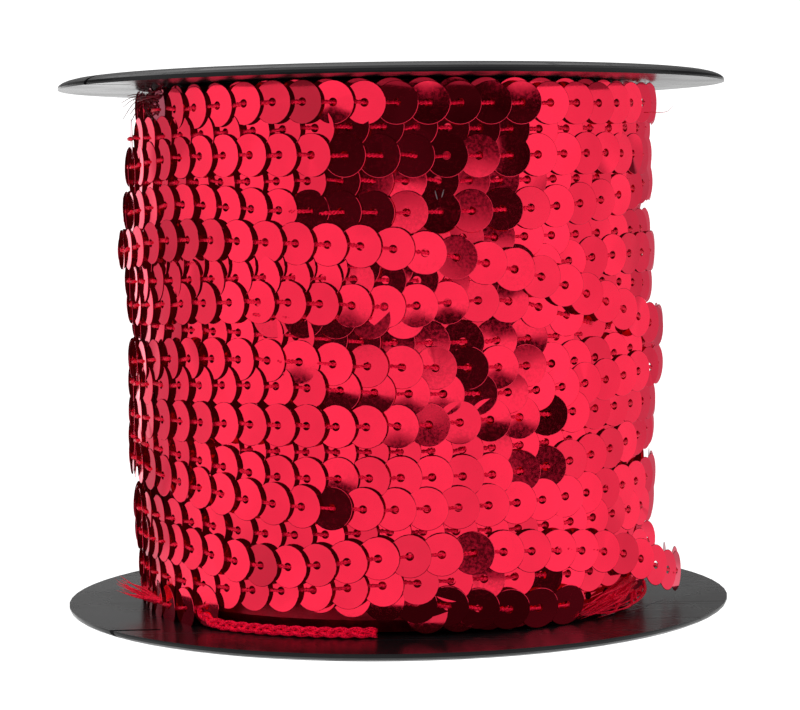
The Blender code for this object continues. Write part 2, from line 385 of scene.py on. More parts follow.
BUNDLE_THICKNESSES = (0.7, 1.2)

# Single hairs and filament ends, through three places each
TOP_HAIRS = (((-71.0, 77.4, 37.6), (-74.0, 77.4, 39.0), (-75.7, 76.6, 40.5)),
             ((-70.0, 77.2, 37.6), (-73.0, 76.4, 39.0), (-75.6, 74.2, 40.3)),
             ((-71.0, 77.5, 37.6), (-73.5, 77.8, 38.6), (-75.3, 77.6, 39.6)),
             ((-69.0, 76.8, 37.6), (-72.0, 75.4, 38.6), (-75.0, 73.9, 39.1)),
             ((-70.0, 77.2, 37.6), (-73.5, 77.0, 39.0), (-76.0, 76.0, 40.2)),
             ((-70.0, 77.0, 37.6), (-73.0, 76.0, 38.6), (-75.0, 74.9, 39.3)))
SIDE_HAIRS = (((-80.0, 57.0, 38.8), (-84.0, 58.4, 39.8), (-86.0, 59.6, 40.3)),
              ((-78.0, 60.5, 38.8), (-84.0, 61.6, 39.9), (-87.0, 63.0, 40.3)),
              ((70.0, 74.0, 40.5), (76.0, 74.2, 42.3), (79.0, 75.4, 43.2)))
NYLON_ENDS = (((61.0, 2.6, 39.4), (64.0, 2.2, 40.6), (68.5, 2.6, 42.4)),
              ((58.0, 2.3, 39.2), (61.0, 1.9, 39.8), (66.0, 2.0, 40.8)),
              ((49.0, 2.2, 39.0), (52.5, 1.85, 38.6), (56.0, 1.8, 38.4)))

# Two short glints of filament on the front, and how thick they are along their length
NYLON_GLINTS = (((9.6, 61.8, 40.05), (9.1, 63.2, 40.05)),
                ((10.4, 62.1, 40.05), (10.9, 63.3, 40.05)))
GLINT_RADII = (0.0, 0.06, 0.08, 0.08, 0.06, 0.0)

# Edges sharper than these angles stay sharp in the shading
FOIL_SHARP = 15.0
CORE_SHARP = 30.0
THREAD_SHARP = 75.0

# Foil: its red, the painted shade along its rim and over its underside, a faint painted red glow
# that lifts its darkest parts, its clear coat, and the height of its fine ripple in metres
FOIL_RED = (0.97, 0.015, 0.06)
FOIL_RIM_PAINTED_SHADE = 0.25
FILM_PAINTED_GLOW = 0.012
FILM_PAINTED_GLOW_COLOUR = (1.0, 0.02, 0.05)
FOIL_COAT = 0.25
FOIL_COAT_ROUGHNESS = 0.04
FOIL_RIPPLE = 0.0000035

# Plastic: each set of scratches by its turn, scale and stretch, and the noise they start at
SCRATCH_SETS = ((12, 900.0, 0.02), (74, 1100.0, 0.03), (138, 800.0, 0.025))
SCRATCH_START = 0.67

# A flat facet may point this far aside of its round surface, as a squared share of its normal
FACET_LIMIT = 0.004


def smooth_step(share):
    """A share eased in and out, and held between 0 and 1."""
    share = np.clip(share, 0.0, 1.0)
    return share * share * (3.0 - 2.0 * share)


def curve_between(before, here, after, beyond, share):
    """A smooth curve between two of its points, from them and their neighbours."""
    return 0.5 * (2 * here + (after - before) * share
                  + (2 * before - 5 * here + 4 * after - beyond) * share ** 2
                  + (3 * here - before - 3 * after + beyond) * share ** 3)


def between_stations(values, azimuth):
    """A smooth curve through the values at the stations, for an azimuth at the front."""
    last = len(STATIONS) - 2
    step = STATIONS[1] - STATIONS[0]
    index = min(max(int((azimuth - STATIONS[0]) // step), 0), last)
    share = (azimuth - STATIONS[index]) / step
    return curve_between(values[max(index - 1, 0)], values[index], values[index + 1],
                         values[min(index + 2, last + 1)], share)


def polar(radius, azimuth, height):
    """A point about the package's axis."""
    angle = math.radians(azimuth)
    return np.array((radius * math.sin(angle), -radius * math.cos(angle), height)) + PACKAGE_SHIFT


Spot = namedtuple("Spot", "row azimuth radius height lean front")


def front_spots(row):
    """The sequins of one turn where it passes the front."""
    start = math.ceil((row.first - row.phase) / row.pitch)
    stop = math.floor((row.last - row.phase) / row.pitch)
    spots = []
    for count in range(start, stop + 1):
        even = row.phase + row.pitch * count
        spots.append(Spot(row.name, even + between_stations(row.shifts, even),
                          row.layer + between_stations(row.lifts, even),
                          between_stations(row.heights, even),
                          between_stations(row.leans, even), True))
    return spots


def behind_spots(row, following, front):
    """The sequins that run on behind, from one turn's right end to the next one's left end."""
    first = front[row.name][-1]
    final = front[following.name][0]
    sweep = final.azimuth + 360.0 - first.azimuth
    steps = round(math.radians(sweep) * row.layer / SEQUIN_PITCH)
    spots = []
    for count in range(1, steps):
        share = count / steps
        blend = smooth_step(share)
        lift_share = smooth_step(BEHIND_LIFT_PACE * share)
        spots.append(Spot(row.name, first.azimuth + sweep * share,
                          first.radius + (final.radius - first.radius) * lift_share,
                          first.height + (final.height - first.height) * blend,
                          0.0, False))
    return spots


def all_strands():
    """Every run of sequins, as lists of spots in order along the thread."""
    rows = {row.name: row for row in ROWS}
    front = {row.name: front_spots(row) for row in ROWS}
    strands = []
    for order in (OUTER_ORDER, INNER_ORDER):
        strand = []
        for name, following in zip(order, order[1:]):
            strand += front[name] + behind_spots(rows[name], rows[following], front)
        strands.append(strand + front[order[-1]])
    return strands + [front[name] for name in SHORT_ROWS]


def under_strands():
    """Even turns a little further in, all the way round."""
    strands = []
    steps = round(2 * math.pi * UNDER_RADIUS / SEQUIN_PITCH)
    for index, height in enumerate(np.linspace(*UNDER_HEIGHTS, UNDER_ROWS)):
        strand = []
        for step in range(steps):
            azimuth = (UNDER_STAGGER * index + 360.0 * step / steps + 180.0) % 360.0 - 180.0
            strand.append(Spot("under", azimuth, UNDER_RADIUS, height, 0.0, False))
        strands.append(strand)
    return strands


def turned_entry(spot):
    """What the list of turned sequins says of this one, or None."""
    for entry in TURNED:
        if spot.front and spot.row == entry.row and abs(spot.azimuth - entry.azimuth) < SAME_SEQUIN:
            return entry
    return None


def is_bare(spot):
    """Whether this place on the thread has no sequin."""
    if spot.front and spot.row == BARE_ROW:
        first, last = BARE
    elif spot.row == "under" and spot.height == UNDER_HEIGHTS[0]:
        first, last = UNDER_BARE
    else:
        return False
    return first < spot.azimuth < last


def sequin_angles(spot, slope, random):
    """A sequin's tilt, lean and curl in radians, its shade, and how uneven it is."""
    tilt = random.normal(TILT, TILT_SPREAD)
    lean = spot.lean + random.normal(0.0, LEAN_SPREAD)
    shade = 1.0 - abs(random.normal(0.0, SHADE_SPREAD)) - DULL_LOSS * (random.uniform() < DULL_SHARE)
    curl = 0.0
    unevenness = 1.0
    # Sequins beneath get painted shade, a darker colour for lying under the outer turns
    if spot.row == "under":
        shade *= UNDER_SHADE
    entry = turned_entry(spot)
    if entry:
        # A listed sequin's shade replaces its own: painted shade for the shade or dark reflection it shows
        tilt, lean, curl, shade = TILT - entry.swing, entry.lean, entry.curl, entry.shade
        unevenness = TURNED_UNEVENNESS
    if spot.front:
        start, stretch = SLOPE_FOLLOWED
        tilt += slope * smooth_step((abs(spot.azimuth) - start) / stretch)
    if spot.front and not entry:
        for start, stretch, angle in LEFT_FLATTER:
            tilt -= angle * smooth_step((start - spot.azimuth) / stretch)
    return math.radians(tilt), math.radians(lean), math.radians(curl), shade, unevenness


Places = namedtuple("Places", "centres axes curls shades unevenness")


def place_sequins(strands, random):
    """Where the sequins are and how they lie. Their axes are along the thread, up and outward."""
    found = []
    for strand in strands:
        points = np.array([polar(spot.radius, spot.azimuth, spot.height) for spot in strand])
        tangents = np.gradient(points, axis=0)
        for spot, point, tangent in zip(strand, points, tangents):
            angle = math.radians(spot.azimuth)
            outward = np.array((math.sin(angle), -math.cos(angle), 0.0))
            along = tangent - outward * (tangent @ outward)
            along /= np.linalg.norm(along)
            up = np.cross(outward, along)
            slope = math.degrees(math.atan2(tangent @ outward, np.linalg.norm(tangent[:2])))
            tilt, lean, curl, shade, unevenness = sequin_angles(spot, slope, random)
            if is_bare(spot):
                continue
            x_axis = along * math.cos(tilt) + outward * math.sin(tilt)
            facing = outward * math.cos(tilt) - along * math.sin(tilt)
            normal = facing * math.cos(lean) + up * math.sin(lean)
            found.append((point, (x_axis, np.cross(normal, x_axis), normal), curl, shade, unevenness))
    return Places(*(np.array(values) for values in zip(*found)))


def ring_bands(rings, steps, closed):
    """Quads between rings of points that follow one another."""
    quads = []
    for ring in range(rings if closed else rings - 1):
        other = (ring + 1) % rings
        for step in range(steps):
            following = (step + 1) % steps
            quads.append((ring * steps + step, other * steps + step,
                          other * steps + following, ring * steps + following))
    return np.array(quads)


def sequin_template():
    """Points of a flat sequin, ring by ring from the hole outward and back underneath."""
    half = SEQUIN_THICKNESS / 2
    section = ((HOLE_RADIUS, half), (BENDING_RADIUS, half), (SEQUIN_RADIUS - SEQUIN_EDGE, half),
               (SEQUIN_RADIUS, 0.0), (HOLE_RADIUS, -half))
    angles = np.radians(np.arange(SEQUIN_STEPS) * 360.0 / SEQUIN_STEPS)
    rings = [np.stack((radius * np.cos(angles), radius * np.sin(angles),
                       np.full(SEQUIN_STEPS, height)), axis=1) for radius, height in section]
    quads = ring_bands(len(section), SEQUIN_STEPS, closed=True)
    return np.concatenate(rings), quads[:, ::-1]


def bent(template, places, random):
    """One copy of the flat sequin for each place, each bent and creased a little its own way."""
    count = len(places.centres)
    unevenness = places.unevenness[:, None]
    points = np.repeat(template[None], count, axis=0)
    x, y = points[..., 0].copy(), points[..., 1].copy()
    points[..., 2] -= places.curls[:, None] * y ** 2 / 2
    heading = random.uniform(0.0, math.pi, (count, 1))
    bend = random.normal(0.0, SURFACE_BEND, (count, 1)) * unevenness
    across = x * np.cos(heading) + y * np.sin(heading)
    points[..., 2] += bend * (across / SEQUIN_RADIUS) ** 2
    crease = random.uniform(-math.pi, math.pi, (count, 1))
    creased = random.uniform(size=(count, 1)) < CREASED_SHARE
    slope = np.where(creased, random.normal(0.0, CREASE_SLOPE, (count, 1)), 0.0) * unevenness
    angle = np.angle(np.exp(1j * (np.arctan2(y, x) - crease)))
    points[..., 2] += slope * np.hypot(x, y) * np.exp(-(angle / CREASE_ANGLE) ** 2)
    return points


def stamped(points, quads, centres, axes):
    """Joined copies: each one's own points, set on its axes at its centre."""
    placed = np.einsum("nvk,nkj->nvj", points, axes) + centres[:, None, :]
    offsets = (np.arange(len(centres)) * points.shape[1])[:, None, None]
    return placed.reshape(-1, 3), (quads[None] + offsets).reshape(-1, quads.shape[1])


def add_piece(name, points, face_sets, material, sharp_from, layers=None):
    """A mesh piece from points in millimetres and arrays of faces with equal side counts.

    The layers are named values, one for each point, that the material reads.
    """
    mesh = bpy.data.meshes.new(name)
    mesh.vertices.add(len(points))
    mesh.vertices.foreach_set("co", (points * MM).astype(np.float32).ravel())
    corners = np.concatenate([faces.ravel() for faces in face_sets]).astype(np.int32)
    sides = np.concatenate([np.full(len(faces), faces.shape[1]) for faces in face_sets])
    mesh.loops.add(len(corners))
    mesh.loops.foreach_set("vertex_index", corners)
    mesh.polygons.add(len(sides))
    starts = np.concatenate(([0], np.cumsum(sides)[:-1])).astype(np.int32)
    mesh.polygons.foreach_set("loop_start", starts)
    mesh.update(calc_edges=True)
    for layer, values in (layers or {}).items():
        mesh.attributes.new(layer, "FLOAT", "POINT").data.foreach_set("value", values.astype(np.float32))
    mesh.shade_smooth()
    mesh.set_sharp_from_angle(angle=math.radians(sharp_from))
    mesh.materials.append(material)
    piece = bpy.data.objects.new(name, mesh)
    bpy.context.scene.collection.objects.link(piece)
    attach(piece, "root")
    return piece


def stitch_points(count, random):
    """Points of each stitch's two plies in its sequin's own axes, ring by ring."""
    course_x, course_z = np.array(STITCH_COURSE).T
    lengths = np.concatenate(([0.0], np.cumsum(np.hypot(np.diff(course_x), np.diff(course_z)))))
    slope = np.arctan2(np.gradient(course_z), -np.gradient(course_x))
    sides = np.arange(STITCH_SIDES) * 2.0 * math.pi / STITCH_SIDES
    shift = random.normal(0.0, STITCH_SHIFT_SPREAD, count)
    swing = np.radians(random.normal(0.0, STITCH_SWING_SPREAD, count))
    start = random.uniform(0.0, 2.0 * math.pi, count)
    plies = []
    for half_turn in (0.0, math.pi):
        twist = start[:, None] + half_turn + np.radians(STITCH_TWIST) * lengths[None]
        side = PLY_OFFSET * np.cos(twist)
        rise = PLY_OFFSET * np.sin(twist) * STITCH_FLATNESS
        ring_y = side[..., None] + PLY_RADIUS * np.cos(sides)
        ring_up = rise[..., None] + PLY_RADIUS * np.sin(sides) * STITCH_FLATNESS
        x = course_x[None, :, None] + shift[:, None, None] + ring_up * np.sin(slope)[None, :, None]
        z = course_z[None, :, None] + ring_up * np.cos(slope)[None, :, None]
        y = ring_y + np.tan(swing)[:, None, None] * x
        plies.append(np.stack((x, y, z), axis=-1).reshape(count, -1, 3))
    return np.concatenate(plies, axis=1)


def stitch_faces():
    """Quads round both plies of a stitch, and the fans of triangles that close their ends."""
    rings = len(STITCH_COURSE)
    quads = ring_bands(rings, STITCH_SIDES, closed=False)
    ply_points = rings * STITCH_SIDES
    quads = np.concatenate((quads, quads + ply_points))
    fans = []
    for ply in range(2):
        for ring, order in ((0, 1), (rings - 1, -1)):
            base = ply * ply_points + ring * STITCH_SIDES
            for step in range(1, STITCH_SIDES - 1):
                corner = (base, base + step, base + step + 1)
                fans.append(corner[::order])
    return quads, np.array(fans)


def make_sequins(places, random):
    """Every sequin, joined in a few pieces, with its shade (random tone, and painted shade for listed
    sequins and those beneath) and its rim, where the foil paints shade, as layers.
    """
    template, quads = sequin_template()
    points = bent(template, places, random)
    # The rim ring is marked, so that the foil paints shade along the rim, fading inward over the underside
    edge = np.zeros(len(template))
    edge[RIM_RING * SEQUIN_STEPS:(RIM_RING + 1) * SEQUIN_STEPS] = 1.0
    pieces = math.ceil(len(points) / PIECE_SEQUINS)
    for index, chosen in enumerate(np.array_split(np.arange(len(points)), pieces)):
        placed, faces = stamped(points[chosen], quads, places.centres[chosen], places.axes[chosen])
        layers = {"shade": np.repeat(places.shades[chosen], len(template)),
                  "edge": np.tile(edge, len(chosen))}
        piece = add_piece(f"sequins_{index + 1}", placed, [faces], foil, FOIL_SHARP, layers)
        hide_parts("trim_winding")


def make_stitches(places, random):
    """The stitch of every sequin of the named turns, joined in at least two pieces."""
    points = stitch_points(len(places.centres), random)
    quads, fans = stitch_faces()
    pieces = max(2, math.ceil(len(points) / (2 * PIECE_SEQUINS)))
    for index, chosen in enumerate(np.array_split(np.arange(len(points)), pieces)):
        centres, axes = places.centres[chosen], places.axes[chosen]
        placed, sides = stamped(points[chosen], quads, centres, axes)
        ends = stamped(points[chosen], fans, centres, axes)[1]
        piece = add_piece(f"stitches_{index + 1}", placed, [sides, ends], thread,
                          THREAD_SHARP)
        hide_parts("trim_winding")


def make_core():
    """The turns underneath, as one dark ring that shows only through gaps.

    Its bore is centred on the spool, and its outside on the package.
    """
    low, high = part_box("trim_winding")
    foot, top = low.z / MM, high.z / MM
    points = []
    for step in range(CORE_STEPS):
        azimuth = 360.0 * step / CORE_STEPS
        points.append(polar(CORE_BORE, azimuth, foot) - PACKAGE_SHIFT)
        for level in range(CORE_LEVELS + 1):
            height = foot + (top - foot) * level / CORE_LEVELS
            ripple = (CORE_RIPPLE * math.sin(height * CORE_RIPPLE_RATE + math.radians(azimuth))
                      + CORE_UNEVENNESS * math.sin(azimuth * CORE_UNEVEN_RATE))
            ease = CORE_EDGE_EASE * (level in (0, CORE_LEVELS))
            points.append(polar(CORE_RADIUS + ripple - ease, azimuth, height))
        points.append(polar(CORE_BORE, azimuth, top) - PACKAGE_SHIFT)
    quads = ring_bands(CORE_STEPS, CORE_LEVELS + 3, closed=True)
    piece = add_piece("wound_core", np.array(points), [quads], core_finish, CORE_SHARP)
    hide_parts("trim_winding")


def tube(path, radii, sides):
    """Points and faces of a tube along a path, drawn to a point where its radius is 0."""
    path = np.asarray(path, dtype=float)
    radii = np.broadcast_to(np.asarray(radii, dtype=float), len(path))
    tangents = np.gradient(path, axis=0)
    tangents /= np.linalg.norm(tangents, axis=1)[:, None]
    off_every_path = (0.31, 0.17, 0.93)
    side = np.cross(tangents[0], off_every_path)
    angles = np.arange(sides) * 2.0 * math.pi / sides
    rings = []
    for point, tangent, radius in zip(path, tangents, radii):
        side = side - tangent * (side @ tangent)
        side /= np.linalg.norm(side)
        other = np.cross(tangent, side)
        rings.append(point + radius * (np.cos(angles)[:, None] * side + np.sin(angles)[:, None] * other))
    return np.concatenate(rings), ring_bands(len(path), sides, closed=False)


def add_tubes(name, tubes, material):
    """One joined piece from several tubes."""
    points, faces, count = [], [], 0
    for tube_points, tube_faces in tubes:
        points.append(tube_points)
        faces.append(tube_faces + count)
        count += len(tube_points)
    add_piece(name, np.concatenate(points), [np.concatenate(faces)], material,
              THREAD_SHARP)


def smooth_path(corners, steps):
    """Points evenly shared out along a smooth curve through the corners.

    They end just short of the last corner, so that each has a corner ahead of it.
    """
    corners = np.asarray(corners, dtype=float)
    padded = np.vstack((2 * corners[0] - corners[1], corners, 2 * corners[-1] - corners[-2]))
    found = []
    for place in np.linspace(0.0, len(corners) - 1.001, steps):
        index = int(place)
        found.append(curve_between(*padded[index:index + 4], place - index))
    return np.array(found)


def on_package(corners, steps):
    """A smooth path from corners given as azimuth, height and radius."""
    return np.array([polar(radius, azimuth, height)
                     for azimuth, height, radius in smooth_path(corners, steps)])


def make_base_braid():
    """The back of the lowest turn, a three-strand chain of fine fibres, low in front."""
    tubes = []
    course = smooth_path(BRAID_COURSE, BRAID_STEPS)
    arc = np.radians(course[:, 0] - course[0, 0]) * BRAID_RADIUS
    steps = np.arange(BRAID_STEPS)
    radii = FIBRE_RADIUS * np.minimum(1.0, np.minimum(steps, steps[::-1]) / BRAID_TAPER)
    for strand in range(BRAID_STRANDS):
        plait = 2 * math.pi * (arc / BRAID_LOOP + strand / BRAID_STRANDS)
        for fibre in range(STRAND_FIBRES):
            twist = 2 * math.pi * (arc / STRAND_TWIST + fibre / STRAND_FIBRES)
            rises = BRAID_WIDTH * np.sin(plait) + STRAND_RADIUS * np.cos(twist)
            outs = BRAID_DEPTH * np.sin(2 * plait) + STRAND_RADIUS * np.sin(twist)
            path = [polar(radius + out, azimuth, height + rise)
                    for (azimuth, height, radius), rise, out in zip(course, rises, outs)]
            tubes.append(tube(path, radii, 5))
    add_tubes("base_braid", tubes, braid_thread)


def bundle_tubes(bundles, random):
    """The fibres of some bundles, each bowed and scattered its own way."""
    tubes = []
    taper = np.minimum(1.0, np.arange(BUNDLE_STEPS)[::-1] / BUNDLE_TAPER)
    for bundle in bundles:
        for _ in range(bundle.count):
            first = bundle.start + random.normal(0.0, 1.0, 3) * bundle.start_scatter
            last = bundle.end + random.normal(0.0, 1.0, 3) * bundle.end_scatter
            middle = (first + last) / 2 + random.normal(0.0, 1.0, 3) * bundle.bow
            near = (first + middle) / 2 + random.normal(0.0, BUNDLE_BOW_SPREAD, 3) * bundle.bow
            radii = bundle.fibre * random.uniform(*BUNDLE_THICKNESSES) * taper
            tubes.append(tube(on_package((first, near, middle, last), BUNDLE_STEPS), radii, 5))
    return tubes


def hair_tubes(hairs, thick, thin, steps=12, sides=4):
    """Single hairs through their places, thinner towards their ends."""
    return [tube(on_package(hair, steps), np.linspace(thick, thin, steps), sides) for hair in hairs]


def make_loose_threads(random):
    """The tuft at the lower left, the dark ends at the top left, and the tangle at the right."""
    add_tubes("left_thread_ends", bundle_tubes(LEFT_BUNDLES, random), thread)
    tubes = bundle_tubes(TOP_BUNDLES, random) + hair_tubes(TOP_HAIRS, thick=0.09, thin=0.04)
    add_tubes("top_thread_ends", tubes, shaded_thread)
    tubes = hair_tubes(SIDE_HAIRS, thick=0.06, thin=0.02) + bundle_tubes(RIGHT_BUNDLES, random)
    add_tubes("right_thread_tangle", tubes, thread)


def make_nylon_ends():
    """Pale filament: three ends at the lower right, and two glints on the front."""
    tubes = hair_tubes(NYLON_ENDS, thick=0.07, thin=0.05, steps=14, sides=5)
    for glint in NYLON_GLINTS:
        tubes.append(tube(on_package(glint, len(GLINT_RADII)), GLINT_RADII, 5))
    add_tubes("nylon_ends", tubes, nylon)


def new_material(name):
    """A node material with its Principled shader, ready for links."""
    material = bpy.data.materials.new(name)
    material.use_nodes = True
    return material, material.node_tree, material.node_tree.nodes["Principled BSDF"]


def set_inputs(tree, node, values):
    """Each input linked to a socket or set to a value."""
    for key, value in values.items():
        if isinstance(value, bpy.types.NodeSocket):
            tree.links.new(value, node.inputs[key])
        else:
            node.inputs[key].default_value = value


def add_node(tree, kind, values=None, **settings):
    """A new node with its settings and its inputs."""
    node = tree.nodes.new(kind)
    for key, value in settings.items():
        setattr(node, key, value)
    set_inputs(tree, node, values or {})
    return node


def calc(tree, operation, first, second=0.0):
    """The outcome of a math node."""
    return add_node(tree, "ShaderNodeMath", {0: first, 1: second}, operation=operation).outputs[0]


def vector_calc(tree, operation, values):
    """The outputs of a vector math node."""
    return add_node(tree, "ShaderNodeVectorMath", values, operation=operation).outputs


def vector_of(tree, x=0.0, y=0.0, z=0.0):
    return add_node(tree, "ShaderNodeCombineXYZ", {0: x, 1: y, 2: z}).outputs[0]


def remap(tree, value, start, end, low=0.0, high=1.0):
    """The value eased from low to high as it passes from start to end."""
    node = add_node(tree, "ShaderNodeMapRange",
                    {"Value": value, "From Min": start, "From Max": end, "To Min": low, "To Max": high},
                    interpolation_type="SMOOTHSTEP")
    return node.outputs["Result"]


def band(tree, value, first, last, first_edge, last_edge):
    """A mask that is 1 between two values and 0 outside them, with soft edges."""
    return calc(tree, "MULTIPLY", remap(tree, value, first - first_edge, first + first_edge),
                remap(tree, value, last - last_edge, last + last_edge, 1.0, 0.0))


def scaled_where(tree, level, mask, share):
    """The level, brought to a share of itself where the mask is 1."""
    return calc(tree, "MULTIPLY", level, remap(tree, mask, 0.0, 1.0, 1.0, share))


def noise(tree, place, scale, detail, roughness=0.5):
    node = add_node(tree, "ShaderNodeTexNoise",
                    {"Vector": place, "Scale": scale, "Detail": detail, "Roughness": roughness})
    return node.outputs["Fac"]


def object_place(tree):
    return add_node(tree, "ShaderNodeTexCoord").outputs["Object"]


def colour_between(tree, share, first, second):
    node = add_node(tree, "ShaderNodeMix", {0: share, 6: (*first, 1.0), 7: (*second, 1.0)},
                    data_type="RGBA")
    return node.outputs[2]


def bump(tree, height, strength, distance, normal=None):
    values = {"Height": height, "Strength": strength, "Distance": distance}
    if normal:
        values["Normal"] = normal
    return add_node(tree, "ShaderNodeBump", values).outputs["Normal"]


def layer_value(tree, name):
    return add_node(tree, "ShaderNodeAttribute", attribute_name=name).outputs["Fac"]


def round_normal(tree, place):
    """The normal of the true round surface about the upright axis that a flat facet stands for."""
    facet = add_node(tree, "ShaderNodeNewGeometry").outputs["True Normal"]
    split = add_node(tree, "ShaderNodeSeparateXYZ", {0: place})
    flat = vector_of(tree, split.outputs["X"], split.outputs["Y"])
    radial = vector_calc(tree, "NORMALIZE", {0: flat})[0]
    along = vector_calc(tree, "DOT_PRODUCT", {0: facet, 1: radial})["Value"]
    upright = add_node(tree, "ShaderNodeSeparateXYZ", {0: facet}).outputs["Z"]
    level = calc(tree, "SUBTRACT", 1.0, calc(tree, "MULTIPLY", upright, upright))
    spread = calc(tree, "SQRT", calc(tree, "MAXIMUM", level, 0.0))
    sideways = calc(tree, "MULTIPLY", spread, calc(tree, "SIGN", along))
    outward = vector_calc(tree, "SCALE", {0: radial, "Scale": sideways})[0]
    smooth = vector_calc(tree, "ADD", {0: outward, 1: vector_of(tree, z=upright)})[0]
    aside = calc(tree, "SUBTRACT", level, calc(tree, "MULTIPLY", along, along))
    is_round = calc(tree, "LESS_THAN", aside, FACET_LIMIT)
    return add_node(tree, "ShaderNodeMix", {0: is_round, 4: facet, 5: smooth}, data_type="VECTOR").outputs[1]


def foil_material():
    """Red metallised film: mirror-like, with a clear coat and uneven shade: random tone, painted shade on
    listed sequins and those beneath, and painted shade along the rim and underside. A faint painted glow
    lifts its darkest parts.
    """
    material, tree, shader = new_material("red sequin foil")
    place = object_place(tree)
    blotches = remap(tree, noise(tree, place, scale=260.0, detail=2.0), 0.25, 0.75, low=0.93)
    # The shade layer is random tone, with painted shade on listed sequins and those beneath; the blotches
    # are random tone
    shade = calc(tree, "MULTIPLY", layer_value(tree, "shade"), blotches)
    # Painted shade: darker towards the rim and over the underside, where the sequins overlap
    shade = calc(tree, "MULTIPLY", shade,
                 remap(tree, layer_value(tree, "edge"), 0.1, 1.0, low=1.0, high=FOIL_RIM_PAINTED_SHADE))
    grain = noise(tree, place, scale=2400.0, detail=4.0)
    ripple = noise(tree, place, scale=500.0, detail=1.0)
    set_inputs(tree, shader, {
        "Base Color": colour_between(tree, shade, (0.0, 0.0, 0.0), FOIL_RED),
        "Metallic": 1.0,
        "Roughness": remap(tree, grain, 0.3, 0.75, low=0.05, high=0.12),
        "Specular Tint": (1.0, 0.5, 0.6, 1.0),
        "Coat Weight": FOIL_COAT,
        "Coat Roughness": FOIL_COAT_ROUGHNESS,
        # Painted glow: a faint red emission that lifts the foil's darkest parts
        "Emission Color": (*FILM_PAINTED_GLOW_COLOUR, 1.0),
        "Emission Strength": FILM_PAINTED_GLOW,
        "Normal": bump(tree, ripple, strength=0.1, distance=FOIL_RIPPLE),
    })
    return material


def thread_material(name, dark, bright, shine=0.14, metal=0.55, painted_glow=0.0):
    """Shiny thread, finely mottled by its fibres, with a painted glow: a red emission that brightens it."""
    material, tree, shader = new_material(name)
    fibre = noise(tree, object_place(tree), scale=5200.0, detail=3.0, roughness=0.6)
    colour = colour_between(tree, remap(tree, fibre, 0.35, 0.65), dark, bright)
    set_inputs(tree, shader, {
        "Base Color": colour,
        "Metallic": metal,
        "Roughness": remap(tree, fibre, 0.3, 0.7, low=0.3, high=0.5),
        "Specular IOR Level": shine,
        "Emission Color": colour,
        "Emission Strength": painted_glow,
        "Normal": bump(tree, fibre, strength=0.4, distance=0.00008),
    })
    return material


def nylon_material():
    """Smooth grey filament, whose ends catch the light."""
    material, tree, shader = new_material("pale nylon filament")
    tone = noise(tree, object_place(tree), scale=1500.0, detail=2.0)
    set_inputs(tree, shader, {
        "Base Color": colour_between(tree, tone, (0.04, 0.04, 0.045), (0.2, 0.19, 0.2)),
        "Roughness": 0.3,
    })
    return material


def core_material():
    """The shaded turns beneath: nearly black red, mottled."""
    material, tree, shader = new_material("shaded turns beneath")
    mottle = noise(tree, object_place(tree), scale=420.0, detail=4.0, roughness=0.65)
    set_inputs(tree, shader, {
        "Base Color": colour_between(tree, mottle, (0.06, 0.0, 0.004), (0.6, 0.003, 0.025)),
        "Metallic": 0.8,
        "Roughness": remap(tree, mottle, 0.2, 0.8, low=0.3, high=0.6),
        "Normal": bump(tree, mottle, strength=0.5, distance=0.0003),
    })
    return material


def scratches(tree, place, turn, scale, stretch):
    """Thin straight scratches in one direction, as a mask from 0 to 1."""
    mapping = add_node(tree, "ShaderNodeMapping",
                       {"Vector": place, "Rotation": (0.0, 0.0, math.radians(turn)),
                        "Scale": (stretch, 1.0, 1.0)})
    lines = noise(tree, mapping.outputs["Vector"], scale, detail=2.0, roughness=0.55)
    return remap(tree, lines, SCRATCH_START, SCRATCH_START + 0.05)


def plastic_material():
    """Black moulded plastic, half glossy, with cloudy wear and scratches from handling."""
    material, tree, shader = new_material("black spool plastic")
    place = object_place(tree)
    marks = 0.0
    for turn, scale, stretch in SCRATCH_SETS:
        marks = calc(tree, "MAXIMUM", marks, scratches(tree, place, turn, scale, stretch))
    cloud = noise(tree, place, scale=60.0, detail=4.0)
    tone = calc(tree, "ADD", calc(tree, "MULTIPLY", marks, 0.35), calc(tree, "MULTIPLY", cloud, 0.5))
    rough = calc(tree, "ADD", remap(tree, cloud, 0.3, 0.7, low=0.2, high=0.3),
                 calc(tree, "MULTIPLY", marks, 0.15))
    relief = calc(tree, "SUBTRACT", cloud, marks)
    set_inputs(tree, shader, {
        "Base Color": colour_between(tree, tone, (0.003, 0.003, 0.0035), (0.016, 0.016, 0.018)),
        "Roughness": rough,
        "Specular IOR Level": 0.16,
        "Normal": bump(tree, relief, strength=0.15, distance=0.00005, normal=round_normal(tree, place)),
    })
    return material


def finish_spool():
    """The plastic's look on both halves of the spool."""
    for name in ("spool_lower_half", "spool_upper_half"):
        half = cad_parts[name]
        half.data.materials.clear()
        half.data.materials.append(plastic)


def add_camera():
    """The camera, level but for its pitch and roll, and looking to the back (+Y)."""
    data = bpy.data.cameras.new("camera")
    data.lens = CAMERA_LENS
    data.sensor_width = SENSOR_WIDTH
    data.clip_start = 0.01
    data.clip_end = 20.0
    camera = bpy.data.objects.new("camera", data)
    camera.location = Vector(CAMERA_PLACE) * MM
    look = Matrix.Rotation(math.radians(90.0 + CAMERA_PITCH), 4, "X")
    roll = Matrix.Rotation(math.radians(CAMERA_ROLL), 4, "Z")
    camera.rotation_euler = (look @ roll).to_euler()
    bpy.context.scene.collection.objects.link(camera)
    bpy.context.scene.camera = camera


